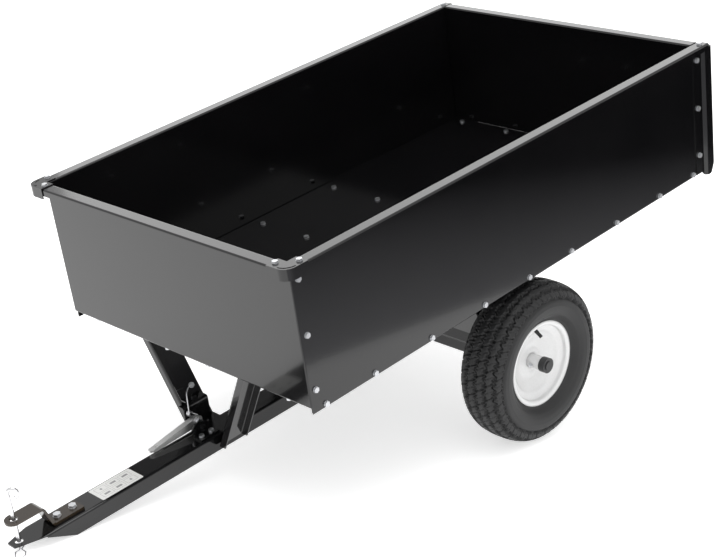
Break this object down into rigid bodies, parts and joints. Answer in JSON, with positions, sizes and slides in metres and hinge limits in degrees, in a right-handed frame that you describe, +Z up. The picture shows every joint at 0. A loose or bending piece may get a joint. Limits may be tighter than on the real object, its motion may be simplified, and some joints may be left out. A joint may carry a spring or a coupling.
{
  "type": "tow-behind dump cart",
  "caption": "Tow-behind steel dump cart: sheet tray on an axle with turf wheels, channel drawbar with clevis hitch, latch lever and lift-out tailgate.",
  "frame": {"origin": "centre of the bounding box's bottom face, on the ground the cart stands on", "axes": "+X towards the hitch, +Y to the cart's left, +Z up; the cart rests nose-down on both tyres and the drawbar's front corner"},
  "size_m": [1.6064, 0.7574, 0.7425],
  "materials": {
    "black_powder_coat": "gloss",
    "white_enamel": "gloss",
    "tyre_rubber": "matt",
    "black_plastic": "satin",
    "grey_nylon": "satin",
    "black_rubber": "matt",
    "zinc_plate": "bright zinc plate",
    "bright_steel": "polished",
    "spring_steel": "drawn wire",
    "axle_steel": "turned"
  },
  "bodies": {
    "chassis": {"tongue": "black_powder_coat", "hitch_strap": "black_powder_coat", "strap_bolts": "zinc_plate", "strap_nuts": "zinc_plate", "rest_bracket": "black_powder_coat", "rest_bolts": "zinc_plate", "catch_stud": "zinc_plate", "axle": "axle_steel", "axle_spacers": "black_powder_coat", "axle_washers": "zinc_plate"},
    "tray": {"front_panel": "black_powder_coat", "floor_panel": "black_powder_coat", "side_panel_left": "black_powder_coat", "side_panel_right": "black_powder_coat", "corner_cap_left": "black_powder_coat", "corner_cap_right": "black_powder_coat", "rear_post_left": "black_powder_coat", "rear_post_right": "black_powder_coat", "floor_rail_front": "black_powder_coat", "floor_rail_rear": "black_powder_coat", "floor_rail_end": "black_powder_coat", "axle_stand_left": "black_powder_coat", "axle_stand_right": "black_powder_coat", "pivot_plates": "black_powder_coat", "leg_left": "black_powder_coat", "leg_right": "black_powder_coat", "leg_saddle": "black_powder_coat", "latch_bracket": "black_powder_coat", "latch_spring": "spring_steel", "lever_pivot_bolt": "zinc_plate", "bracket_bolt": "zinc_plate", "side_bolts": "zinc_plate", "side_nuts": "zinc_plate", "panel_bolts": "zinc_plate", "panel_nuts": "zinc_plate", "floor_bolts": "zinc_plate", "floor_nuts": "zinc_plate"},
    "tailgate": {"tailgate": "black_powder_coat"},
    "latch_lever": {"latch_lever": "zinc_plate"},
    "hitch_pin": {"hitch_pin": "bright_steel"},
    "pin_clip": {"pin_clip": "spring_steel"},
    "wheel_left": {"tyre_left": "tyre_rubber", "rim_outer_left": "white_enamel", "rim_inner_left": "white_enamel", "hub_left": "white_enamel", "bushings_left": "grey_nylon", "hub_cap_left": "black_plastic", "valve_stem_left": "black_rubber", "grease_nipple_left": "zinc_plate"},
    "wheel_right": {"tyre_right": "tyre_rubber", "rim_outer_right": "white_enamel", "rim_inner_right": "white_enamel", "hub_right": "white_enamel", "bushings_right": "grey_nylon", "hub_cap_right": "black_plastic", "valve_stem_right": "black_rubber", "grease_nipple_right": "zinc_plate"}
  },
  "joints": [
    {"name": "tray_tip", "type": "hinge", "parent": "chassis", "child": "tray", "pos_m": [-0.22257, 0, 0.166], "axis": [0, -1, 0], "range_deg": [0, 40]},
    {"name": "tailgate_lift", "type": "slide", "parent": "tray", "child": "tailgate", "axis": [0.1746, 0, 0.9846], "range_m": [0, 0.28]},
    {"name": "latch_lever_swing", "type": "hinge", "parent": "tray", "child": "latch_lever", "pos_m": [0.35006, -0.0275, 0.10205], "axis": [0, -1, 0], "range_deg": [0, 20], "stiffness_Nm_per_rad": 0.8, "springref_deg": -17.19},
    {"name": "wheel_left_spin", "type": "hinge", "parent": "chassis", "child": "wheel_left", "pos_m": [-0.22257, 0.326, 0.166], "axis": [0, 1, 0], "continuous": true},
    {"name": "wheel_right_spin", "type": "hinge", "parent": "chassis", "child": "wheel_right", "pos_m": [-0.22257, -0.326, 0.166], "axis": [0, 1, 0], "continuous": true},
    {"name": "hitch_pin_lift", "type": "slide", "parent": "chassis", "child": "hitch_pin", "axis": [0.1617, 0, 0.9868], "range_m": [0, 0.004]},
    {"name": "pin_clip_pull", "type": "slide", "parent": "hitch_pin", "child": "pin_clip", "axis": [0.5921, 0.8, -0.097], "range_m": [0, 0.035]}
  ]
}
